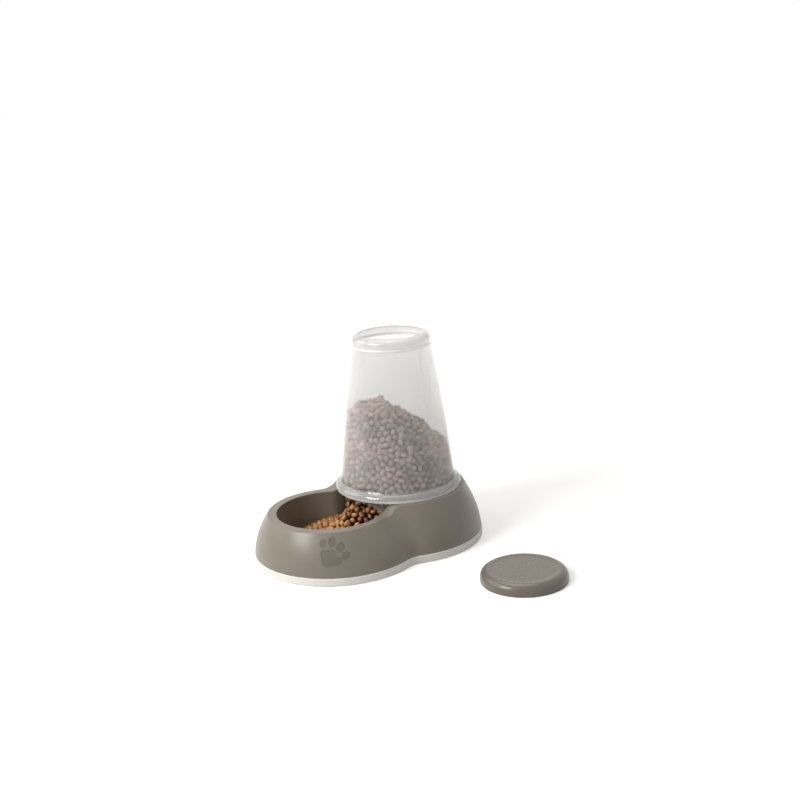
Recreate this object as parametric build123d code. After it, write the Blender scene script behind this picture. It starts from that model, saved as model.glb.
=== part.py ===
from build123d import *
import os
from math import atan, cos, pi, radians, sin

# A gravity pet feeder: a moulded base with a bowl and a round well, a soft ring
# under its edge, a milky hopper that stands in the well and feeds the bowl
# through an arch, and the hopper's lid, laid down beside it while it is filled.
# Millimetres. The floor is z = 0 and +X runs from the bowl to the hopper. The
# pieces are drawn with the bowl's and the well's centres on the X axis, then all
# moved so that the origin lies midway across the whole set, lid included.

# Base: two round bodies, the bowl's and the well's, met by a soft waist.
WALL = 2.6
BOWL_X, BOWL_R = -48.7, 66.3
WELL_X, WELL_R = 55.0, 73.2
CORNER_R = 22.0
CUP_DRAFT = 1.6
CUP_FLOOR = 14.0
CUP_FILLET = 9.0
RIM_Z = 60.0
SEAT_Z = 70.4
STEP_FROM, STEP_TO = -13.0, 12.0
FOOT_Z = 10.0
FOOT_LEFT_X, FOOT_LEFT_R = -40.5, 104.0
FOOT_RIGHT_X, FOOT_RIGHT_R = 56.0, 103.5
RIM_OUTER_X, RIM_OUTER_R = -48.6, 78.0
SEAT_OUTER_R = 83.5
CONVEX = 1.7
LIP_OUTER, LIP_INNER = 2.2, 1.2
WAIST_FOOT, WAIST_GAIN = 27.0, 0.25

# Paw print sunk into the bowl's wall: its middle, as an angle round the bowl and
# a height, the wall's lean there, and its depth. The pad goes round four circles,
# each a place and a radius in the print's plane. The ovals, each a place, two
# radii and a tilt, are the pad's heel and the four toes.
PAW_ANGLE, PAW_Z, PAW_LEAN = -125.0, 38.0, 30.5
PAW_DEPTH = 0.4
PAW_PAD = [(-8.0, 0.6, 4.2), (1.4, -0.4, 5.0), (2.6, -9.8, 4.8), (-5.4, -10.0, 4.6)]
PAW_OVALS = [
    (7.0, -8.9, 6.9, 5.0, 10),
    (-8.5, 12.8, 3.9, 5.1, -4),
    (2.2, 13.8, 4.7, 6.1, -10),
    (12.1, 7.6, 4.7, 6.5, -26),
    (18.0, -2.4, 4.3, 5.8, -60),
]

# Half of a right angle's cosine, for the middle of a quarter turn.
ROOT_HALF = cos(pi / 4)

# Soft ring under the base.
RING_PROUD = 1.0
RING_WIDTH = 6.0
RING_UPSTAND = 5.0

# Hopper.
SKIN = 1.8
SKIRT_BOTTOM = 24.0
FLANGE_Z, FLANGE_R = 70.7, 80.0
JOIN_Z, JOIN_R = 86.0, 72.4
BEAD_Z, BEAD_R = 253.6, 51.5
NECK_R, NECK_Z = 50.2, 260.8
MOUTH_Z, MOUTH_R = 268.2, 39.4
BULGE = 0.75
ARCH_HALF, ARCH_TOP, ARCH_CORNER = 43.3, 64.5, 18.0
HOPPER_LIFT = 120.0

# Lid.
LID_R, LID_H, LID_SKIN = 52.2, 14.0, 1.6
LID_ROLL = 9.5
LID_X, LID_Y = 82.0, -215.0
LID_DISH, LID_DISH_RUN = 0.7, 5.0

# Middle of the whole set's footprint, in the axes that the pieces are drawn in.
SET_LEFT = FOOT_LEFT_X - FOOT_LEFT_R - RING_PROUD
SET_RIGHT = FOOT_RIGHT_X + FOOT_RIGHT_R + RING_PROUD
SET_BACK = FOOT_LEFT_R + RING_PROUD
SET_FRONT = LID_Y - LID_R
TO_ORIGIN = Pos(-(SET_LEFT + SET_RIGHT) / 2, -(SET_BACK + SET_FRONT) / 2, 0)

os.makedirs("parts", exist_ok=True)


def outline(z, left, right, waist):
    """Plan of two round lobes, each a centre on the X axis and a radius, joined
    by two concave waist arcs that touch both lobes."""
    (x1, r1), (x2, r2) = left, right
    span = x2 - x1
    reach1, reach2 = r1 + waist, r2 + waist
    along = (reach1**2 - reach2**2 + span**2) / (2 * span)
    mid = Vector(x1 + along, (reach1**2 - along**2) ** 0.5, z)
    on1 = Vector(x1, 0, z) + (mid - Vector(x1, 0, z)) * (r1 / reach1)
    on2 = Vector(x2, 0, z) + (mid - Vector(x2, 0, z)) * (r2 / reach2)
    inward = ((on1 + on2) * 0.5 - mid).normalized()
    deep = mid + inward * waist

    def under(p):
        return Vector(p.X, -p.Y, p.Z)

    arcs = [
        ThreePointArc(on1, Vector(x1 - r1, 0, z), under(on1)),
        ThreePointArc(under(on1), under(deep), under(on2)),
        ThreePointArc(under(on2), Vector(x2 + r2, 0, z), on2),
        ThreePointArc(on2, deep, on1),
    ]
    return Face(Wire(arcs))


def base_outline(z, inset=0.0):
    """The base's plan at one height: it draws in towards the top along a convex
    curve, more at the low bowl end than at the seat."""
    low = max(z - FOOT_Z, 0.0)
    left = (low / (RIM_Z - FOOT_Z)) ** CONVEX
    right = (low / (SEAT_Z - FOOT_Z)) ** CONVEX
    x1 = FOOT_LEFT_X + (RIM_OUTER_X - FOOT_LEFT_X) * left
    r1 = FOOT_LEFT_R + (RIM_OUTER_R - FOOT_LEFT_R) * left
    x2 = FOOT_RIGHT_X + (WELL_X - FOOT_RIGHT_X) * right
    r2 = FOOT_RIGHT_R + (SEAT_OUTER_R - FOOT_RIGHT_R) * right
    waist = WAIST_FOOT + WAIST_GAIN * z
    return outline(z, (x1, r1 - inset), (x2, r2 - inset), waist + inset)


def base_hull(inset=0.0):
    """The base as a closed body through nine of its plans."""
    heights = [FOOT_Z + (SEAT_Z + 3 - FOOT_Z) * i / 8 for i in range(9)]
    return loft([base_outline(z, inset) for z in heights])


def above_top(drop=0.0):
    """Everything above the base's top face: level round the bowl, up a soft
    S-shaped step, and level again round the seat."""
    run, rise = STEP_TO - STEP_FROM, SEAT_Z - RIM_Z
    radius = (run**2 + rise**2) / (4 * rise)
    half = atan(rise / run)
    low, high = RIM_Z - drop, SEAT_Z - drop
    start, end = (STEP_FROM, low), (STEP_TO, high)
    middle = ((STEP_FROM + STEP_TO) / 2, (low + high) / 2)
    dx, dz = radius * sin(half), radius * (1 - cos(half))
    first = (STEP_FROM + dx, low + dz)
    second = (STEP_TO - dx, high - dz)
    pen = [
        Line((-200, low), start),
        ThreePointArc(start, first, middle),
        ThreePointArc(middle, second, end),
        Line(end, (200, high)),
        Line((200, high), (200, 150)),
        Line((200, 150), (-200, 150)),
        Line((-200, 150), (-200, low)),
    ]
    face = Plane.XZ * Face(Wire(pen))
    return extrude(face, 200, both=True)


def cup(grow=0.0):
    """The bowl and the well as one open room with rounded corners between them,
    a little narrower at the floor; grown, it is the outside of the same room."""
    top = outline(90, (BOWL_X, BOWL_R + grow + CUP_DRAFT), (WELL_X, WELL_R + grow + CUP_DRAFT / 3), CORNER_R - grow)
    floor = CUP_FLOOR - grow
    low = outline(floor, (BOWL_X, BOWL_R + grow - CUP_DRAFT), (WELL_X, WELL_R + grow - CUP_DRAFT), CORNER_R - grow)
    room = loft([low, top], ruled=True)
    return fillet(room.edges().group_by(Axis.Z)[0], CUP_FILLET + grow)


def paw_print():
    """The room that a paw print takes out of the wall: one pad round four circles,
    its oval heel and the oval toes, cut through the air and a skin of the wall."""
    low = ((PAW_Z - FOOT_Z) / (RIM_Z - FOOT_Z)) ** CONVEX
    reach = FOOT_LEFT_R + (RIM_OUTER_R - FOOT_LEFT_R) * low
    middle = FOOT_LEFT_X + (RIM_OUTER_X - FOOT_LEFT_X) * low
    turn, lean = radians(PAW_ANGLE), radians(PAW_LEAN)
    across = Vector(-sin(turn), cos(turn), 0)
    out = Vector(cos(turn) * cos(lean), sin(turn) * cos(lean), sin(lean))
    spot = Vector(middle + reach * cos(turn), reach * sin(turn), PAW_Z)
    circles = [Pos(u, v) * CenterArc((0, 0), r, 0, 360) for u, v, r in PAW_PAD]
    print_plan = make_hull(ShapeList(circles))
    for u, v, wide, tall, tilt in PAW_OVALS:
        print_plan += Pos(u, v) * Rot(0, 0, tilt) * Ellipse(wide, tall)
    pads = extrude(Plane(origin=spot, x_dir=across, z_dir=out) * print_plan, 12, both=True)
    return pads - base_hull(PAW_DEPTH)


def save(shape, name):
    shape = TO_ORIGIN * shape
    shape.label = name
    export_step(shape, f"parts/{name}.step")
    print(name, "solids", len(shape.solids()), "volume", round(shape.volume), shape.is_valid)


# Base shell: an outer wall open underneath, with the cup hung inside it.
outside = base_hull() - above_top()
rim_edges = [e for e in outside.edges() if e.center().Z > RIM_Z - 1]
outside = fillet(rim_edges, LIP_OUTER)
underside = base_hull(WALL) - above_top(WALL) - cup(WALL)
base_shell = outside - underside - cup()
inner_edges = [
    e
    for e in base_shell.edges()
    if e.center().Z > RIM_Z - 0.5 and e.distance_to(cup().solid()) < 0.01
]
base_shell = fillet(inner_edges, LIP_INNER) - paw_print()
save(base_shell, "base_shell")

# Soft ring: a band under the base's edge, with an upstand inside the wall.
def foot_outline(z, inset):
    left = (FOOT_LEFT_X, FOOT_LEFT_R + RING_PROUD - inset)
    right = (FOOT_RIGHT_X, FOOT_RIGHT_R + RING_PROUD - inset)
    return outline(z, left, right, WAIST_FOOT + WAIST_GAIN * FOOT_Z - RING_PROUD + inset)


band = extrude(foot_outline(0, 0), FOOT_Z)
band = fillet(band.edges().filter_by(GeomType.CIRCLE), 1.2)
upstand = extrude(foot_outline(FOOT_Z, RING_PROUD + WALL + 1.0), RING_UPSTAND)
anti_slip_ring = band + upstand - extrude(foot_outline(-1, RING_WIDTH + 1.0), FOOT_Z + RING_UPSTAND + 2)
save(anti_slip_ring, "anti_slip_ring")

# Hopper: wall, bead, neck and rolled shoulder, a flared flange that rests on the
# seat, and a skirt inside the well, all one skin turned about the well's axis.
wall_mid = ((JOIN_R + BEAD_R) / 2 + BULGE, (JOIN_Z + BEAD_Z) / 2)
shoulder = MOUTH_Z - NECK_Z
shoulder_r = NECK_R - shoulder
skin_in = [
    Line((MOUTH_R + SKIN / 2, MOUTH_Z - SKIN), (shoulder_r, MOUTH_Z - SKIN)),
    ThreePointArc(
        (shoulder_r, MOUTH_Z - SKIN),
        (shoulder_r + (shoulder - SKIN) * ROOT_HALF, NECK_Z + (shoulder - SKIN) * ROOT_HALF),
        (NECK_R - SKIN, NECK_Z),
    ),
    Line((NECK_R - SKIN, NECK_Z), (NECK_R - SKIN, BEAD_Z)),
    ThreePointArc((NECK_R - SKIN, BEAD_Z), (wall_mid[0] - SKIN, wall_mid[1]), (JOIN_R - SKIN, JOIN_Z)),
    Line((JOIN_R - SKIN, JOIN_Z), (JOIN_R - SKIN - 2.0, SKIRT_BOTTOM)),
    Line((JOIN_R - SKIN - 2.0, SKIRT_BOTTOM), (JOIN_R - 2.0, SKIRT_BOTTOM)),
]
skin_out = [
    Line((JOIN_R - 2.0, SKIRT_BOTTOM), (JOIN_R - 0.3, 79.5)),
    ThreePointArc((JOIN_R - 0.3, 79.5), (76.9, 75.9), (FLANGE_R - SKIN, 73.0)),
    Line((FLANGE_R - SKIN, 73.0), (FLANGE_R - SKIN, FLANGE_Z)),
    Line((FLANGE_R - SKIN, FLANGE_Z), (FLANGE_R, FLANGE_Z)),
    Line((FLANGE_R, FLANGE_Z), (FLANGE_R, 73.6)),
    ThreePointArc((FLANGE_R, 73.6), (78.5, 77.0), (75.3, 79.6)),
    ThreePointArc((75.3, 79.6), (73.3, 82.4), (JOIN_R, JOIN_Z)),
    ThreePointArc((JOIN_R, JOIN_Z), wall_mid, (BEAD_R - 0.7, BEAD_Z)),
    ThreePointArc((BEAD_R - 0.7, BEAD_Z), (BEAD_R, BEAD_Z + 1.5), (BEAD_R - 0.7, BEAD_Z + 3.0)),
    Line((BEAD_R - 0.7, BEAD_Z + 3.0), (NECK_R, BEAD_Z + 3.0)),
    Line((NECK_R, BEAD_Z + 3.0), (NECK_R, NECK_Z)),
    ThreePointArc(
        (NECK_R, NECK_Z),
        (shoulder_r + shoulder * ROOT_HALF, NECK_Z + shoulder * ROOT_HALF),
        (shoulder_r, MOUTH_Z),
    ),
    Line((shoulder_r, MOUTH_Z), (MOUTH_R + SKIN / 2, MOUTH_Z)),
    ThreePointArc(
        (MOUTH_R + SKIN / 2, MOUTH_Z), (MOUTH_R, MOUTH_Z - SKIN / 2), (MOUTH_R + SKIN / 2, MOUTH_Z - SKIN)
    ),
]
hopper = revolve(Plane.XZ * Face(Wire(skin_in + skin_out)), Axis.Z)
arch = Pos(0, ARCH_TOP / 2 - 20) * Rectangle(2 * ARCH_HALF, ARCH_TOP + 40)
arch = fillet(arch.vertices().group_by(Axis.Y)[-1], ARCH_CORNER)
arch = extrude(Plane.YZ * arch, -100)
hopper = Pos(WELL_X, 0, 0) * (hopper - arch)
save(hopper, "hopper")

# Lid: a shallow cap with a rolled edge and a faintly dished top.
roll_x, roll_z = LID_R - LID_ROLL, LID_H - LID_ROLL
inner_roll = LID_ROLL - LID_SKIN
lid_out = [
    Line((0, LID_H - LID_DISH), (roll_x - LID_DISH_RUN, LID_H - LID_DISH)),
    Line((roll_x - LID_DISH_RUN, LID_H - LID_DISH), (roll_x, LID_H)),
    ThreePointArc(
        (roll_x, LID_H),
        (roll_x + LID_ROLL * ROOT_HALF, roll_z + LID_ROLL * ROOT_HALF),
        (LID_R, roll_z),
    ),
    Line((LID_R, roll_z), (LID_R, 0)),
    Line((LID_R, 0), (LID_R - LID_SKIN, 0)),
    Line((LID_R - LID_SKIN, 0), (LID_R - LID_SKIN, roll_z)),
    ThreePointArc(
        (LID_R - LID_SKIN, roll_z),
        (roll_x + inner_roll * ROOT_HALF, roll_z + inner_roll * ROOT_HALF),
        (roll_x, LID_H - LID_SKIN),
    ),
    Line((roll_x, LID_H - LID_SKIN), (0, LID_H - LID_SKIN)),
    Line((0, LID_H - LID_SKIN), (0, LID_H - LID_DISH)),
]
lid = Pos(LID_X, LID_Y, 0) * revolve(Plane.XZ * Face(Wire(lid_out)), Axis.Z)
save(lid, "lid")
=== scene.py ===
import bpy
import numpy as np
from mathutils import Matrix, Vector


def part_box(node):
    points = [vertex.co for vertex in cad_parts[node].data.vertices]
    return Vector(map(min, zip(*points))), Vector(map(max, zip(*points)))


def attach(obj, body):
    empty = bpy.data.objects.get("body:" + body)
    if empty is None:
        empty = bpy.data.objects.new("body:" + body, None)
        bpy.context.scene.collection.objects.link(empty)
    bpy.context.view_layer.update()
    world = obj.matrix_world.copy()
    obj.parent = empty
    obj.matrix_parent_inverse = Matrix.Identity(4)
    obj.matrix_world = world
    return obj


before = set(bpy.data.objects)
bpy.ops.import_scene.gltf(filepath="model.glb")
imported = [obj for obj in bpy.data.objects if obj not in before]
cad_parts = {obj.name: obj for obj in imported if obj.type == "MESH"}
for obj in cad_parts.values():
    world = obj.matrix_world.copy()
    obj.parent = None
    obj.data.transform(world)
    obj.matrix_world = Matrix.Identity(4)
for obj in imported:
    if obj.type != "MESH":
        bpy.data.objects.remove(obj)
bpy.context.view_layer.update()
scene = bpy.context.scene
scene.view_settings.view_transform = "Standard"

# Studio: the feeder stands on pale seamless paper, seen from a little above and from the
# bowl's side. A soft lamp stands on its left with a weaker one behind it, a weak one on
# its right, and a broad one above. Lengths are metres, angles are degrees.
VIEW_AZIMUTH, VIEW_ELEVATION, VIEW_ROLL = -34.0, 15.6, -2.87
VIEW_DISTANCE = 1.5736
VIEW_AIM = Vector((0.0521, 0.0749, 0.1808))
FOCAL_PX, FRAME_PX, SENSOR_MM = 1250.0, 800.0, 36.0
LAMP_AIM = Vector((0, 0, 0.1))
FLOOR_HALF = 9.0
PAPER, PAPER_SHADE, LAMP_WHITE, SKY = "F6F6F4", "E2E0DC", "FFFDFA", "F1F3F6"
LIFT_NEAR, LIFT_FAR, LIFT_FROM, LIFT_TO = 0.30, 1.0, 0.35, 1.5
SKY_STRENGTH = 0.28


def linear(code):
    """An sRGB hex colour as linear RGBA: c/12.92 up to 0.04045, else ((c+0.055)/1.055)^2.4."""
    c = np.array([int(code[i : i + 2], 16) for i in (0, 2, 4)]) / 255
    low, high = c / 12.92, ((c + 0.055) / 1.055) ** 2.4
    return (*np.where(c <= 0.04045, low, high).tolist(), 1.0)


def add(tree, kind, inputs, **settings):
    """Adds a node, sets it, and fills its inputs by name or number with a value or a socket."""
    made = tree.nodes.new(kind)
    for key, value in settings.items():
        setattr(made, key, value)
    for key, value in inputs.items():
        if isinstance(value, bpy.types.NodeSocket):
            tree.links.new(value, made.inputs[key])
        else:
            made.inputs[key].default_value = value
    return made


def empty_tree(owner):
    """The node tree of a material or world, cleared of its default nodes."""
    owner.use_nodes = True
    owner.node_tree.nodes.clear()
    return owner.node_tree


def sees_white(tree):
    """1 for the rays that should meet the white background: the camera's, and those that
    a glossy or see-through surface sends on."""
    path = add(tree, "ShaderNodeLightPath", {})
    clear = {0: path.outputs["Is Camera Ray"], 1: path.outputs["Is Transmission Ray"]}
    clear = add(tree, "ShaderNodeMath", clear, operation="MAXIMUM")
    every = {0: clear.outputs[0], 1: path.outputs["Is Glossy Ray"]}
    return add(tree, "ShaderNodeMath", every, operation="MAXIMUM").outputs[0]


def looking_at(aim, azimuth, elevation, distance):
    """Where a camera or lamp stands on a sphere round its aim, turned towards it. Azimuth 0
    is the front, -Y, and 90 is +X."""
    a, e = np.radians([azimuth, elevation])
    away = Vector((np.sin(a) * np.cos(e), -np.cos(a) * np.cos(e), np.sin(e)))
    turned = (-away).to_track_quat("-Z", "Y").to_matrix().to_4x4()
    return Matrix.Translation(aim + away * distance) @ turned


def lamp(name, azimuth, elevation, distance, size, watts):
    """A square soft lamp turned towards the feeder's middle."""
    light = bpy.data.lights.new(name, "AREA")
    light.size, light.energy, light.color = size, watts, linear(LAMP_WHITE)[:3]
    made = bpy.data.objects.new(name, light)
    made.matrix_world = looking_at(LAMP_AIM, azimuth, elevation, distance)
    scene.collection.objects.link(made)


camera = bpy.data.objects.new("camera", bpy.data.cameras.new("camera"))
roll = Matrix.Rotation(np.radians(VIEW_ROLL), 4, "Z")
camera.matrix_world = looking_at(VIEW_AIM, VIEW_AZIMUTH, VIEW_ELEVATION, VIEW_DISTANCE) @ roll
camera.data.sensor_width = SENSOR_MM
camera.data.lens = FOCAL_PX / FRAME_PX * SENSOR_MM
scene.collection.objects.link(camera)
scene.camera = camera

lamp("key_lamp", azimuth=-92, elevation=36, distance=1.6, size=0.7, watts=19)
lamp("side_lamp", azimuth=-140, elevation=30, distance=2.0, size=1.2, watts=8)
lamp("fill_lamp", azimuth=50, elevation=30, distance=2.4, size=1.4, watts=2.5)
lamp("top_lamp", azimuth=160, elevation=74, distance=1.8, size=1.2, watts=12)

floor_mesh = bpy.data.meshes.new("studio_floor")
corners = [(-1, -1, 0), (1, -1, 0), (1, 1, 0), (-1, 1, 0)]
floor_mesh.from_pydata(np.array(corners) * FLOOR_HALF, [], [(0, 1, 2, 3)])
studio_floor = bpy.data.objects.new("studio_floor", floor_mesh)
scene.collection.objects.link(studio_floor)

# White paper: matt, and for the camera lifted to the background's white, a little near
# the feeder, so that its shadow shows, and fully far away, where the lamps fall off.
paper = bpy.data.materials.new("matt_white_paper")
tree = empty_tree(paper)
place = add(tree, "ShaderNodeTexCoord", {}).outputs["Object"]
away = add(tree, "ShaderNodeVectorMath", {0: place}, operation="LENGTH")
glow = add(
    tree,
    "ShaderNodeMapRange",
    {
        "Value": away.outputs["Value"],
        "From Min": LIFT_FROM,
        "From Max": LIFT_TO,
        "To Min": LIFT_NEAR,
        "To Max": LIFT_FAR,
    },
    interpolation_type="SMOOTHSTEP",
)
white_side = add(tree, "ShaderNodeBsdfDiffuse", {"Color": linear(PAPER)})
lift = add(tree, "ShaderNodeEmission", {"Color": (1, 1, 1, 1), "Strength": glow.outputs["Result"]})
seen = add(tree, "ShaderNodeAddShader", {0: white_side.outputs[0], 1: lift.outputs[0]})
bounce = add(tree, "ShaderNodeBsdfDiffuse", {"Color": linear(PAPER_SHADE)})
pick = {0: sees_white(tree), 1: bounce.outputs[0], 2: seen.outputs[0]}
pick = add(tree, "ShaderNodeMixShader", pick)
add(tree, "ShaderNodeOutputMaterial", {"Surface": pick.outputs[0]})
floor_mesh.materials.append(paper)

world = bpy.data.worlds.new("soft_room")
scene.world = world
tree = empty_tree(world)
room = add(tree, "ShaderNodeBackground", {"Color": linear(SKY), "Strength": SKY_STRENGTH})
white = add(tree, "ShaderNodeBackground", {"Color": (1, 1, 1, 1), "Strength": 1.0})
pick = {0: sees_white(tree), 1: room.outputs[0], 2: white.outputs[0]}
pick = add(tree, "ShaderNodeMixShader", pick)
add(tree, "ShaderNodeOutputWorld", {"Surface": pick.outputs[0]})

# Base shell: one injection-moulded polypropylene part in warm taupe, with a satin
# spark-eroded skin. That skin's grain is near 0.1 mm, and it is drawn coarser so that it
# shows. The paw print is sunk and polished a little, and its colour is painted darker,
# as painted shade.
TAUPE, TAUPE_WARM, PAW_PAINTED_SHADE = "7B7469", "82796E", "6F685D"
SHELL_SATIN, SHELL_PITTING, PAW_SATIN = (0.31, 0.38), 0.25, 0.30
GRAIN_MM, FLOW_MM, PIT_DEPTH = 0.9, 71.4, 0.00004
POLYPROPYLENE_IOR = 1.49
PAW_SPOT = Vector((-0.10511, 0.00386, 0.0380))
PAW_ANGLE, PAW_LEAN = np.radians(-125.0), np.radians(30.5)
PAD_CORNER, PAD_DEPTH, OVAL_DEPTH = 0.0045, 0.012, 0.020
PRINT_INSIDE, PRINT_OUTSIDE = 0.94, 1.04
PAD_MM = [(-8.0, 0.6, 4.2), (1.4, -0.4, 5.0), (2.6, -9.8, 4.8), (-5.4, -10.0, 4.6)]
OVALS_MM = [
    (7.0, -8.9, 6.9, 5.0, 10),
    (-8.5, 12.8, 3.9, 5.1, -4),
    (2.2, 13.8, 4.7, 6.1, -10),
    (12.1, 7.6, 4.7, 6.5, -26),
    (18.0, -2.4, 4.3, 5.8, -60),
]


def paw_mark(tree, place):
    """1 inside the sunk paw print, 0 outside. OVALS_MM holds the pad's heel and four toes,
    each a middle, two half widths and a tilt: a point is inside one where its length is
    below 1 in the oval's own turned and stretched axes. PAD_MM holds the four corners of
    the pad with their radii: a point is inside the pad where the parts by which it passes
    each inset side, taken together, are shorter than PAD_CORNER. The depths are how far the
    print reaches each way through the wall."""
    across = Vector((-np.sin(PAW_ANGLE), np.cos(PAW_ANGLE), 0))
    level = np.cos(PAW_LEAN)
    out = Vector((np.cos(PAW_ANGLE) * level, np.sin(PAW_ANGLE) * level, np.sin(PAW_LEAN)))
    plane = Matrix((across, out.cross(across), out)).transposed()
    local = {"Vector": place, "Location": PAW_SPOT, "Rotation": plane.to_euler()}
    local = add(tree, "ShaderNodeMapping", local, vector_type="TEXTURE").outputs[0]
    total = 0.0
    for (u1, v1, r1), (u2, v2, r2) in zip(PAD_MM, PAD_MM[1:] + PAD_MM[:1]):
        run = np.array([u2 - u1, v2 - v1])
        span = np.hypot(*run)
        lean = (r1 - r2) / span
        normal = lean * run / span + np.sqrt(1 - lean**2) * np.array([-run[1], run[0]]) / span
        edge = (normal @ [u1, v1] + r1) / 1000 - PAD_CORNER
        side = {0: local, 1: (*normal, 0)}
        side = add(tree, "ShaderNodeVectorMath", side, operation="DOT_PRODUCT").outputs["Value"]
        past = add(tree, "ShaderNodeMath", {0: side, 1: edge}, operation="SUBTRACT").outputs[0]
        only = add(tree, "ShaderNodeMath", {0: past, 1: 0.0}, operation="MAXIMUM").outputs[0]
        square = add(tree, "ShaderNodeMath", {0: only, 1: 2.0}, operation="POWER").outputs[0]
        total = add(tree, "ShaderNodeMath", {0: total, 1: square}).outputs[0]
    reach = add(tree, "ShaderNodeMath", {0: total, 1: 0.5}, operation="POWER").outputs[0]
    reach = add(tree, "ShaderNodeMath", {0: reach, 1: PAD_CORNER}, operation="DIVIDE").outputs[0]
    depth = add(tree, "ShaderNodeSeparateXYZ", {"Vector": local}).outputs["Z"]
    depth = add(tree, "ShaderNodeMath", {0: depth}, operation="ABSOLUTE").outputs[0]
    depth = add(tree, "ShaderNodeMath", {0: depth, 1: PAD_DEPTH}, operation="DIVIDE").outputs[0]
    nearest = add(tree, "ShaderNodeMath", {0: reach, 1: depth}, operation="MAXIMUM").outputs[0]
    for u, v, wide, tall, tilt in OVALS_MM:
        turned = plane @ Matrix.Rotation(np.radians(tilt), 3, "Z")
        oval = {
            "Vector": place,
            "Location": PAW_SPOT + plane @ Vector((u / 1000, v / 1000, 0)),
            "Rotation": turned.to_euler(),
            "Scale": (wide / 1000, tall / 1000, OVAL_DEPTH),
        }
        oval = add(tree, "ShaderNodeMapping", oval, vector_type="TEXTURE").outputs[0]
        length = add(tree, "ShaderNodeVectorMath", {0: oval}, operation="LENGTH").outputs["Value"]
        both = {0: nearest, 1: length}
        nearest = add(tree, "ShaderNodeMath", both, operation="MINIMUM").outputs[0]
    fade = {"From Min": PRINT_INSIDE, "From Max": PRINT_OUTSIDE, "To Min": 1.0, "To Max": 0.0}
    return add(tree, "ShaderNodeMapRange", {"Value": nearest, **fade}).outputs["Result"]


def moulded_taupe(name, shades, satin, pitting, mark=None):
    """Satin polypropylene: slow flow-line shades, a fine pitted skin as bump, and roughness
    that follows it between two limits. A mark, 1 in the sunk print, darkens it with painted
    shade and smooths it."""
    material = bpy.data.materials.new(name)
    tree = empty_tree(material)
    place = add(tree, "ShaderNodeTexCoord", {}).outputs["Object"]
    flow = {"Vector": place, "Scale": 1000 / FLOW_MM, "Detail": 3.0, "Distortion": 0.6}
    flow = add(tree, "ShaderNodeTexNoise", flow).outputs["Fac"]
    grain = {"Vector": place, "Scale": 1000 / GRAIN_MM, "Detail": 2.0, "Roughness": 0.6}
    grain = add(tree, "ShaderNodeTexNoise", grain).outputs["Fac"]
    colour = {"Factor": flow, "A": linear(shades[0]), "B": linear(shades[1])}
    colour = add(tree, "ShaderNodeMix", colour, data_type="RGBA").outputs["Result"]
    gloss = {"Value": grain, "From Min": 0.3, "From Max": 0.7, "To Min": satin[0], "To Max": satin[1]}
    gloss = add(tree, "ShaderNodeMapRange", gloss).outputs["Result"]
    pits = {"Height": grain, "Strength": pitting, "Distance": PIT_DEPTH}
    pits = add(tree, "ShaderNodeBump", pits).outputs["Normal"]
    # Painted shade: the sunk print's colour is darkened, and its roughness lowered.
    if mark:
        sunk = mark(tree, place)
        colour = {"Factor": sunk, "A": colour, "B": linear(PAW_PAINTED_SHADE)}
        colour = add(tree, "ShaderNodeMix", colour, data_type="RGBA").outputs["Result"]
        gloss = {"Factor": sunk, "A": gloss, "B": PAW_SATIN}
        gloss = add(tree, "ShaderNodeMix", gloss).outputs["Result"]
    shell = {"Base Color": colour, "Roughness": gloss, "Normal": pits, "IOR": POLYPROPYLENE_IOR}
    shell = add(tree, "ShaderNodeBsdfPrincipled", shell)
    add(tree, "ShaderNodeOutputMaterial", {"Surface": shell.outputs[0]})
    return material


def finish_node(name, material):
    """Gives a carried-over CAD node its material."""
    mesh = bpy.data.objects[name].data
    mesh.materials.clear()
    mesh.materials.append(material)


taupe = "satin_moulded_polypropylene_taupe"
taupe = moulded_taupe(taupe, (TAUPE, TAUPE_WARM), SHELL_SATIN, SHELL_PITTING, paw_mark)
finish_node("base_shell", taupe)

# Soft ring: cream thermoplastic rubber, moulded and pushed over the base's lower edge. It
# is matt and a touch chalky, with faint cloudy shades of grey.
CREAM, CREAM_GREY = "ECEAE6", "E1DED8"
CLOUD_MM, DUST_MM, DUST_DEPTH = 22.2, 1.11, 0.00005
material = bpy.data.materials.new("moulded_soft_rubber_cream")
tree = empty_tree(material)
place = add(tree, "ShaderNodeTexCoord", {}).outputs["Object"]
cloud = {"Vector": place, "Scale": 1000 / CLOUD_MM, "Detail": 4.0}
cloud = add(tree, "ShaderNodeTexNoise", cloud).outputs["Fac"]
dust = {"Vector": place, "Scale": 1000 / DUST_MM, "Detail": 2.0}
dust = add(tree, "ShaderNodeTexNoise", dust).outputs["Fac"]
shade = {"Factor": cloud, "A": linear(CREAM), "B": linear(CREAM_GREY)}
shade = add(tree, "ShaderNodeMix", shade, data_type="RGBA").outputs["Result"]
chalk = {"Height": dust, "Strength": 0.3, "Distance": DUST_DEPTH}
chalk = add(tree, "ShaderNodeBump", chalk).outputs["Normal"]
rubber = {"Base Color": shade, "Roughness": 0.72, "Normal": chalk, "IOR": 1.5}
rubber = add(tree, "ShaderNodeBsdfPrincipled", rubber)
add(tree, "ShaderNodeOutputMaterial", {"Surface": rubber.outputs[0]})
finish_node("anti_slip_ring", material)

# Dry food: extruded and baked nuggets about 9 mm across, poured into the hopper and run
# out into the bowl. In the hopper only the outer layer is single nuggets, round a core
# painted near black as the shade inside the heap. First come the inner sizes of the hopper
# and bowl, then those of the two heaps.
low, high = (np.array(c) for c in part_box("hopper"))
AXIS = (low + high) / 2
WELL_FLOOR, SKIRT_END, JOIN_Z, BEAD_Z = 0.014, 0.024, 0.086, 0.2536
SKIRT_R, JOIN_R, BEAD_R = 0.0686, 0.0706, 0.049
BOWL_OUT, BOWL_R, BOWL_FILLET = 0.1037, 0.0650, 0.009
BOWL = AXIS[:2] - [BOWL_OUT, 0]

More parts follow.
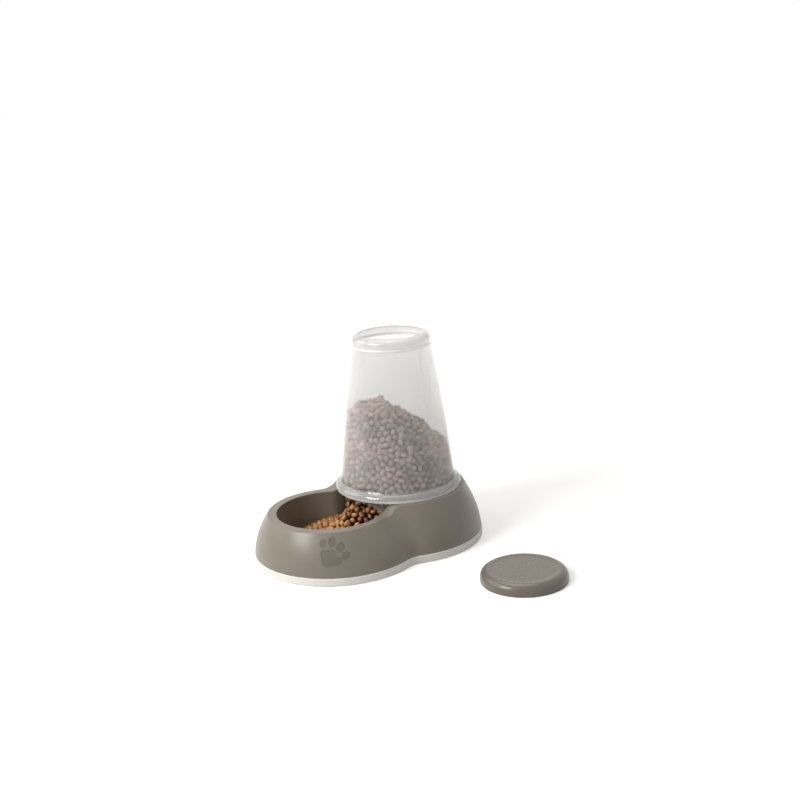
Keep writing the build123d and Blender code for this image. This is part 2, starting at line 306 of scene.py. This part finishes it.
NUGGET, SPACING, LAYER = 0.0045, 0.0086, 0.0115
SMALLEST, LARGEST = (0.82, 0.72, 0.80), (1.18, 1.08, 1.15)
ROUNDS, RELIST, PUSH, MEET = 90, 10, 0.4, 1.7
LOWEST = WELL_FLOOR + 0.8 * NUGGET
IN_HOPPER, IN_BOWL = 1750, 330
HOPPER_HALF, HOPPER_FROM, HOPPER_TO = 0.07, 0.016, 0.195
BOWL_REACH, BOWL_FROM, BOWL_TO = 0.085, 0.02, 0.05

CREST, CREST_RIGHT, CREST_FAR, CREST_ROUND = 0.179, -0.028, -0.03, 0.010
FALL_RIGHT, FALL_LEFT, FALL_FAR, FALL_NEAR = 0.68, 0.42, 0.12, 0.35
NEAR_FROM, NEAR_OVER = -0.01, 0.03
WAVE, WAVE_RIGHT, WAVE_FAR, WAVE_SKEW = 0.0016, 0.0042, 0.0051, 0.009

SPOUT_OUT, SPOUT_ASIDE = 0.072, 0.005
ARCH_X, ARCH_Y = AXIS[:2] - [SPOUT_OUT, SPOUT_ASIDE]
SPOUT_TOP, SPOUT_FALL, APRON_TOP, APRON_FALL = 0.057, 0.85, 0.0455, 0.38
HEAP_DEEP, HEAP_FLAT, SKIRT_CLEAR = 0.022, 0.018, 0.070


def hopper_radius(z):
    """The inside of the hopper at a height: two straight runs, skirt and tapered wall."""
    return np.interp(z, [SKIRT_END, JOIN_Z, BEAD_Z], [SKIRT_R, JOIN_R, BEAD_R])


def poured_top(p):
    """Height of the food in the hopper over points whose last axis starts with x and y: a
    rounded crest left of the middle, from which it falls steeply to the camera's right,
    less to the left, a little to both sides in depth, and more towards the near wall right
    of the crest, with low waves where single nuggets have rolled to a stop."""
    sine, cosine = np.sin(np.radians(VIEW_AZIMUTH)), np.cos(np.radians(VIEW_AZIMUTH))
    x, y = p[..., 0] - AXIS[0], p[..., 1] - AXIS[1]
    right, far = x * cosine + y * sine, y * cosine - x * sine
    past = right - CREST_RIGHT
    slide = np.sqrt(past**2 + CREST_ROUND**2) - CREST_ROUND
    fall = np.where(past > 0, FALL_RIGHT, FALL_LEFT) * slide + FALL_FAR * np.abs(far - CREST_FAR)
    waves = WAVE * (np.sin(right / WAVE_RIGHT) + np.sin(far / WAVE_FAR + right / WAVE_SKEW))
    near = FALL_NEAR * np.maximum(-far, 0) * np.clip((right - NEAR_FROM) / NEAR_OVER, 0, 1)
    return CREST - fall + waves - near


def heap_top(p):
    """Height of the heap in the bowl: steep under the arch, then a flatter apron."""
    from_arch = np.hypot(p[:, 0] - ARCH_X, p[:, 1] - ARCH_Y)
    return np.maximum(SPOUT_TOP - SPOUT_FALL * from_arch, APRON_TOP - APRON_FALL * from_arch)


def spread(p, hold):
    """Moves points, in a number of rounds, until few are nearer to another than SPACING: each
    pair pushes both its points apart by the share PUSH of its overlap, then hold puts every
    point back into its room. Now and then the pairs within MEET spacings are listed anew."""
    for step in range(ROUNDS):
        if step % RELIST == 0:
            q = p.astype(np.float32)
            near = ((q[:, None] - q[None]) ** 2).sum(-1) < (MEET * SPACING) ** 2
            one, two = np.nonzero(np.triu(near, 1))
        gap = p[one] - p[two]
        dist = np.linalg.norm(gap, axis=1) + 1e-9
        push = gap * (PUSH * np.clip(SPACING - dist, 0, None) / dist)[:, None]
        moved = np.zeros_like(p)
        for k, part in enumerate(push.T):
            moved[:, k] = np.bincount(one, part, len(p)) - np.bincount(two, part, len(p))
        p = hold(p + moved)
    return p


def at_reach(p, centre, limit):
    """Points moved level to or from a centre, so that their distance is what limit makes
    of their present one."""
    offset = p[:, :2] - centre
    r = np.linalg.norm(offset, axis=1) + 1e-9
    return np.column_stack([centre + offset * (limit(r) / r)[:, None], p[:, 2]])


def in_hopper(p):
    """Holds points in the poured food's outer layer: within the wall, above the floor and
    below the poured top, and from the core out to the layer along the wall."""
    z = np.clip(p[:, 2], LOWEST, poured_top(p))
    wall = hopper_radius(z) - NUGGET
    deep = (poured_top(p) - z > LAYER) & (z > WELL_FLOOR + LAYER)
    inside = np.where(deep, wall - LAYER + NUGGET, 0)
    return at_reach(np.column_stack([p[:, :2], z]), AXIS[:2], lambda r: np.clip(r, inside, wall))


def in_bowl(p):
    """Holds points in the heap in the bowl: above its floor, outside the hopper's skirt, and
    within its wall, drawn in by 0.6 of how far they lie below the top of its fillet."""
    top = heap_top(p)
    z = np.clip(p[:, 2], np.maximum(LOWEST, top - HEAP_DEEP), np.maximum(top, HEAP_FLAT))
    wall = BOWL_R - NUGGET - 0.6 * np.clip(WELL_FLOOR + BOWL_FILLET - z, 0, None)
    p = at_reach(np.column_stack([p[:, :2], z]), BOWL, lambda r: np.minimum(r, wall))
    return at_reach(p, AXIS[:2], lambda r: np.maximum(r, SKIRT_CLEAR))


def ring_faces(rows, turns):
    """Faces of a stack of rings whose points are followed by two poles: quads between each
    ring and the next, and a fan of triangles round each pole."""
    j = np.arange(turns)
    k = (j + 1) % turns
    ring = turns * np.arange(rows - 1)[:, None]
    quads = np.stack([ring + j, ring + k, ring + turns + k, ring + turns + j], -1)
    last, pole = turns * (rows - 1), np.full(turns, turns * rows)
    fans = np.vstack([np.stack([k, j, pole], -1), np.stack([last + j, last + k, pole + 1], -1)])
    return quads.reshape(-1, 4), fans


def nugget():
    """One nugget of half width 1, on rings v and turns u: three soft lobes in plan,
    r = cos(v)^0.6 (1 + lobe cos 3u), flat, z = thickness |sin v|^0.8 with the sign of v,
    and with both poles pressed in. Returns points and faces."""
    rings, turns, lobe, thickness, pole = 4, 9, 0.14, 0.7, 0.48
    lat = np.linspace(-np.pi / 2, np.pi / 2, rings + 2)[1:-1]
    lon = np.arange(turns) / turns * 2 * np.pi
    v, u = np.meshgrid(lat, lon, indexing="ij")
    r = np.cos(v) ** 0.6 * (1 + lobe * np.cos(3 * u))
    z = thickness * np.sign(v) * np.abs(np.sin(v)) ** 0.8
    body = np.stack([r * np.cos(u), r * np.sin(u), z], -1).reshape(-1, 3)
    return np.vstack([body, [[0, 0, -pole], [0, 0, pole]]]), ring_faces(rings, turns)


def poured_core():
    """The middle of the poured food, which the cereal material paints near black as painted
    shade: rings of the hopper's inside drawn in by a layer, from just above the floor to a
    layer under the poured top, then three rings drawn in over that top. A ring's height and
    radius follow each other, so both are worked out in several passes. Returns points, with
    a pole at each end, and faces."""
    rows, turns, passes, first_height, clear = 12, 40, 12, 0.07, 0.008
    bottom = WELL_FLOOR + clear
    lon = np.arange(turns) / turns * 2 * np.pi
    around = np.stack([np.cos(lon), np.sin(lon)], -1)
    share = np.linspace(0, 1, rows)[:, None]
    z = np.full((rows, turns), first_height)
    for _ in range(passes):
        flat = AXIS[:2] + around * (hopper_radius(z) - LAYER)[..., None]
        z = bottom + (poured_top(flat) - LAYER - bottom) * share
    side = np.dstack([AXIS[:2] + around * (hopper_radius(z) - LAYER)[..., None], z])
    inner = np.array([0.75, 0.5, 0.25])[:, None, None]
    flat = AXIS[:2] + (side[-1, :, :2] - AXIS[:2]) * inner
    cover = np.dstack([flat, poured_top(flat) - LAYER])
    poles = [[*AXIS[:2], bottom], [*AXIS[:2], poured_top(AXIS) - LAYER]]
    points = np.vstack([side.reshape(-1, 3), cover.reshape(-1, 3), poles])
    return points, ring_faces(rows + len(inner), turns)


def write_values(mesh, name, values):
    """Stores one number for each of the mesh's points under a name."""
    stored = mesh.attributes.new(name, "FLOAT", "POINT")
    stored.data.foreach_set("value", values.astype(np.float32))


def points_of(mesh):
    """The mesh's points, one in each row."""
    at = np.empty(len(mesh.vertices) * 3)
    mesh.vertices.foreach_get("co", at)
    return at.reshape(-1, 3)


def heap(name, centres, rng, core=None):
    """Many nuggets in one mesh: each is the same grid, scaled, turned by a random unit
    quaternion w + v, as I + 2w[v] + 2[v][v] with [v] the matrix of the cross product with
    v, and put at its centre, with a tone of its own from 0 to 1. The core's tone is -1."""
    points, faces = nugget()
    count, size = len(centres), len(points)
    q = rng.normal(size=(count, 4))
    w, x, y, z = (q / np.linalg.norm(q, axis=1, keepdims=True)).T
    none = np.zeros(count)
    cross = np.array([[none, -z, y], [z, none, -x], [-y, x, none]]).transpose(2, 0, 1)
    spin = np.eye(3) + 2 * w[:, None, None] * cross + 2 * cross @ cross
    scale = NUGGET * rng.uniform(SMALLEST, LARGEST, (count, 3))
    placed = np.einsum("nij,nvj->nvi", spin, points * scale[:, None]) + centres[:, None]
    tone = np.repeat(rng.uniform(0, 1, count), size)
    every = placed.reshape(-1, 3)
    first = size * np.arange(count)[:, None, None]
    groups = [(part + first).reshape(-1, part.shape[1]) for part in faces]
    if core is not None:
        groups += [part + len(every) for part in core[1]]
        every = np.vstack([every, core[0]])
        tone = np.concatenate([tone, np.full(len(core[0]), -1.0)])
    mesh = bpy.data.meshes.new(name)
    mesh.from_pydata(every, [], [face for group in groups for face in group.tolist()])
    mesh.polygons.foreach_set("use_smooth", np.ones(len(mesh.polygons), bool))
    write_values(mesh, "tone", tone)
    made = bpy.data.objects.new(name, mesh)
    scene.collection.objects.link(made)
    return made


# Baked cereal: golden to dark brown, with a crumbly surface, a faint sheen of fat and
# painted shade in the gaps between the nuggets. Against the hopper's milky wall, the
# wall's scattered light is painted in, paling it to a warm grey, and painted shade keeps
# the gaps behind its face darker.
BAKED, TOASTED, PAINTED_GAP_SHADE, PAINTED_CORE_SHADE = "C48E50", "70401D", "2A1508", "1E0F06"
PAINTED_VEIL_LIGHT, PAINTED_VEIL_DARK, PAINTED_VEIL_GAP_SHADE = "DABAA9", "86685A", "4C372D"
CRUST_MM, CRUMBS_MM, CRUMBS_DEPTH = 2.38, 0.77, 0.0004
TOASTED_BELOW, BAKED_ABOVE = 0.35, 1.45
DEEP, RIM_SHADE, LIT, LEAST_SHADE = 0.008, 0.8, 0.012, 0.15
PALE_FROM, PALE_TO = 0.060, 0.074


def baked_cereal(name, behind_wall):
    """Crumbly baked crust whose colour follows each nugget's own tone and a fine noise, and
    darkens by the mesh's value deep as painted shade in the gaps; with behind_wall, a second
    value of the mesh leads to the paler shades, the wall's scattered light painted in."""
    material = bpy.data.materials.new(name)
    tree = empty_tree(material)
    place = add(tree, "ShaderNodeTexCoord", {}).outputs["Object"]
    tone = add(tree, "ShaderNodeAttribute", {}, attribute_name="tone").outputs["Fac"]
    deep = add(tree, "ShaderNodeAttribute", {}, attribute_name="deep").outputs["Fac"]
    crust = {"Vector": place, "Scale": 1000 / CRUST_MM, "Detail": 3.0}
    crust = add(tree, "ShaderNodeTexNoise", crust).outputs["Fac"]
    baked = add(tree, "ShaderNodeMath", {0: crust, 1: tone}, operation="ADD").outputs[0]
    baked = {"Value": baked, "From Min": TOASTED_BELOW, "From Max": BAKED_ABOVE}
    baked = add(tree, "ShaderNodeMapRange", baked).outputs["Result"]
    # Painted shade towards the gap colour, and behind the wall paler shades as painted light.
    shades = [(TOASTED, BAKED, PAINTED_GAP_SHADE), (PAINTED_VEIL_DARK, PAINTED_VEIL_LIGHT, PAINTED_VEIL_GAP_SHADE)]
    for n, (dark, light, gap) in enumerate(shades[: 1 + behind_wall]):
        here = {"Factor": baked, "A": linear(dark), "B": linear(light)}
        here = add(tree, "ShaderNodeMix", here, data_type="RGBA").outputs["Result"]
        here = {"Factor": deep, "A": here, "B": linear(gap)}
        here = add(tree, "ShaderNodeMix", here, data_type="RGBA").outputs["Result"]
        if n == 0:
            shade = here
            continue
        painted_veil = add(tree, "ShaderNodeAttribute", {}, attribute_name="painted_veil").outputs["Fac"]
        shade = {"Factor": painted_veil, "A": shade, "B": here}
        shade = add(tree, "ShaderNodeMix", shade, data_type="RGBA").outputs["Result"]
    # Painted shade: the core, tone -1, is painted near black for the inside of the heap.
    core = add(tree, "ShaderNodeMath", {0: tone, 1: -0.5}, operation="LESS_THAN").outputs[0]
    shade = {"Factor": core, "A": shade, "B": linear(PAINTED_CORE_SHADE)}
    shade = add(tree, "ShaderNodeMix", shade, data_type="RGBA").outputs["Result"]
    crumbs = {"Vector": place, "Scale": 1000 / CRUMBS_MM, "Detail": 3.0, "Roughness": 0.65}
    crumbs = add(tree, "ShaderNodeTexNoise", crumbs).outputs["Fac"]
    rough = {"Height": crumbs, "Strength": 0.6, "Distance": CRUMBS_DEPTH}
    rough = add(tree, "ShaderNodeBump", rough).outputs["Normal"]
    cereal = {"Base Color": shade, "Roughness": 0.38, "Normal": rough}
    cereal = add(tree, "ShaderNodeBsdfPrincipled", cereal)
    add(tree, "ShaderNodeOutputMaterial", {"Surface": cereal.outputs[0]})
    return material


def write_wall_depth(mesh, nuggets):
    """Two values of the food in the hopper, painted shade and painted light. deep, painted
    shade, goes from 0 at the wall to 1 at DEEP behind it, and to RIM_SHADE where a nugget's
    own side turns away from the wall; both less near the poured top, which is lit from above.
    The second, the wall's scattered light painted in, goes from 0 below the flange to 1 above it."""
    at, size = points_of(mesh), len(nugget()[0])
    behind = hopper_radius(at[:, 2]) - np.hypot(at[:, 0] - AXIS[0], at[:, 1] - AXIS[1])
    each = at[: nuggets * size].reshape(nuggets, size, 3)
    middle = each.mean(1, keepdims=True)
    outward = middle[..., :2] - AXIS[:2]
    outward /= np.linalg.norm(outward, axis=-1, keepdims=True)
    facing = ((each - middle)[..., :2] * outward).sum(-1) / np.linalg.norm(each - middle, axis=-1)
    turned = np.ones(len(at))
    turned[: nuggets * size] = np.clip(1 - facing, 0, 1).ravel()
    under = np.clip((poured_top(at) + NUGGET - at[:, 2]) / LIT, LEAST_SHADE, 1)
    # Painted shade: darker deeper behind the wall and where a nugget turns away from it.
    deep = np.maximum(np.clip(behind / DEEP, 0, 1) ** 1.5, RIM_SHADE * turned**2) * under
    write_values(mesh, "deep", deep)
    write_values(mesh, "painted_veil", np.clip((at[:, 2] - PALE_FROM) / (PALE_TO - PALE_FROM), 0, 1))


def write_heap_depth(mesh):
    """The value deep of the food in the bowl, painted shade: 0 on top of the heap, 1 a nugget below.
    """
    at = points_of(mesh)
    deep = np.clip((heap_top(at) + NUGGET - at[:, 2]) / (2 * NUGGET), 0, 1) ** 2
    write_values(mesh, "deep", deep)


rng = np.random.default_rng(11)
level = rng.uniform(-HOPPER_HALF, HOPPER_HALF, (IN_HOPPER, 2))
guess = np.column_stack([AXIS[:2] + level, rng.uniform(HOPPER_FROM, HOPPER_TO, IN_HOPPER)])
poured = heap("kibble_in_hopper", spread(in_hopper(guess), in_hopper), rng, poured_core())
write_wall_depth(poured.data, IN_HOPPER)
poured.data.materials.append(baked_cereal("baked_extruded_cereal_behind_milky_wall", True))
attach(poured, "hopper_body")

angle = rng.uniform(np.pi * 0.5, np.pi * 1.5, IN_BOWL)
reach = rng.uniform(0, BOWL_REACH, IN_BOWL)
x, y = ARCH_X + reach * np.cos(angle), AXIS[1] + reach * np.sin(angle)
guess = np.column_stack([x, y, rng.uniform(BOWL_FROM, BOWL_TO, IN_BOWL)])
spilled = heap("kibble_in_bowl", spread(in_bowl(guess), in_bowl), rng)
write_heap_depth(spilled.data)
spilled.data.materials.append(baked_cereal("baked_extruded_cereal", False))
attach(spilled, "base")

# Hopper: one moulded wall of natural polypropylene, milky, with a glossy skin. It stops
# more light where it is thicker, at flange and neck, and where it is seen side on. The
# flange's rim and the bead carry light from inside the wall to the eye; that light is
# painted in, as a whiter colour there.
MILK, MILK_PAINTED_RIM_LIGHT = "C6C6C4", "F8F8F8"
THIN, FLANGE, NECK, EDGE = 0.30, 0.54, 0.44, 0.85
SIDE_ON_FROM, SIDE_ON = 0.6, 0.56
RIPPLE_MM, RIPPLE_DEPTH, SOFT_EDGE = 33.3, 0.0006, 0.0008
BANDS = [
    (FLANGE, (0.0690, 0.0820), (0.0740, 0.0820)),
    (NECK, (0.2540, 0.2700), (0.0380, 0.0530)),
    (EDGE, (0.0690, 0.0736), (0.0786, 0.0820)),
    (EDGE, (0.2538, 0.2565), (0.0506, 0.0530)),
]
material = bpy.data.materials.new("natural_moulded_polypropylene_milky")
tree = empty_tree(material)
place = add(tree, "ShaderNodeTexCoord", {}).outputs["Object"]
ripple = {"Vector": place, "Scale": 1000 / RIPPLE_MM, "Detail": 2.0}
ripple = add(tree, "ShaderNodeTexNoise", ripple).outputs["Fac"]
wave = {"Height": ripple, "Strength": 0.05, "Distance": RIPPLE_DEPTH}
wave = add(tree, "ShaderNodeBump", wave).outputs["Normal"]
haze = {"Value": ripple, "To Min": 0.10, "To Max": 0.16}
haze = add(tree, "ShaderNodeMapRange", haze).outputs["Result"]
level = {0: place, 1: (1, 1, 0)}
level = add(tree, "ShaderNodeVectorMath", level, operation="MULTIPLY").outputs[0]
reach = {0: level, 1: (*AXIS[:2], 0)}
reach = add(tree, "ShaderNodeVectorMath", reach, operation="DISTANCE").outputs["Value"]
height = add(tree, "ShaderNodeSeparateXYZ", {"Vector": place}).outputs["Z"]


def within(value, low, high):
    """1 where a value lies between two limits, falling to 0 over SOFT_EDGE past each."""
    middle, half = (low + high) / 2, (high - low) / 2
    off = add(tree, "ShaderNodeMath", {0: value, 1: middle}, operation="SUBTRACT").outputs[0]
    off = add(tree, "ShaderNodeMath", {0: off}, operation="ABSOLUTE").outputs[0]
    fall = {"Value": off, "From Min": half, "From Max": half + SOFT_EDGE, "To Min": 1.0, "To Max": 0.0}
    return add(tree, "ShaderNodeMapRange", fall).outputs["Result"]


# Each band is the share of light that it stops, a span of height and a span of distance
# from the axis: flange, neck, the flange's rim and the bead.
banded = 0.0
for share, span, ring in BANDS:
    both = {0: within(height, *span), 1: within(reach, *ring)}
    both = add(tree, "ShaderNodeMath", both, operation="MINIMUM").outputs[0]
    part = add(tree, "ShaderNodeMath", {0: both, 1: share}, operation="MULTIPLY").outputs[0]
    banded = add(tree, "ShaderNodeMath", {0: part, 1: banded}, operation="MAXIMUM").outputs[0]
# Painted light: the flange's rim and the bead are tinted whiter, for light the wall carries to them.
edge = {"Value": banded, "From Min": FLANGE, "From Max": EDGE}
edge = add(tree, "ShaderNodeMapRange", edge).outputs["Result"]
tint = {"Factor": edge, "A": linear(MILK), "B": linear(MILK_PAINTED_RIM_LIGHT)}
tint = add(tree, "ShaderNodeMix", tint, data_type="RGBA").outputs["Result"]
side_on = add(tree, "ShaderNodeLayerWeight", {"Blend": 0.5}).outputs["Facing"]
side_on = {"Value": side_on, "From Min": SIDE_ON_FROM, "To Min": THIN, "To Max": SIDE_ON}
side_on = add(tree, "ShaderNodeMapRange", side_on).outputs["Result"]
veil = add(tree, "ShaderNodeMath", {0: banded, 1: side_on}, operation="MAXIMUM").outputs[0]
milky = add(
    tree,
    "ShaderNodeBsdfPrincipled",
    {
        "Base Color": tint,
        "Roughness": haze,
        "Transmission Weight": 0.33,
        "Alpha": veil,
        "IOR": POLYPROPYLENE_IOR,
        "Coat Weight": 0.8,
        "Coat Roughness": 0.10,
        "Normal": wave,
    },
)
add(tree, "ShaderNodeOutputMaterial", {"Surface": milky.outputs[0]})
finish_node("hopper", material)

# Lid: a thin shallow cap with a rolled edge, moulded in the base's polypropylene and
# glossier. Its colours are a darker copy of the base's, as painted shade. It is taken
# off for filling and laid on the floor.
LID_SHADED_TAUPE, LID_SHADED_WARM = "6D665A", "736B5F"
LID_SATIN, LID_PITTING = (0.26, 0.29), 0.08
lid_taupe = "satin_moulded_polypropylene_lid"
lid_taupe = moulded_taupe(lid_taupe, (LID_SHADED_TAUPE, LID_SHADED_WARM), LID_SATIN, LID_PITTING)
finish_node("lid", lid_taupe)
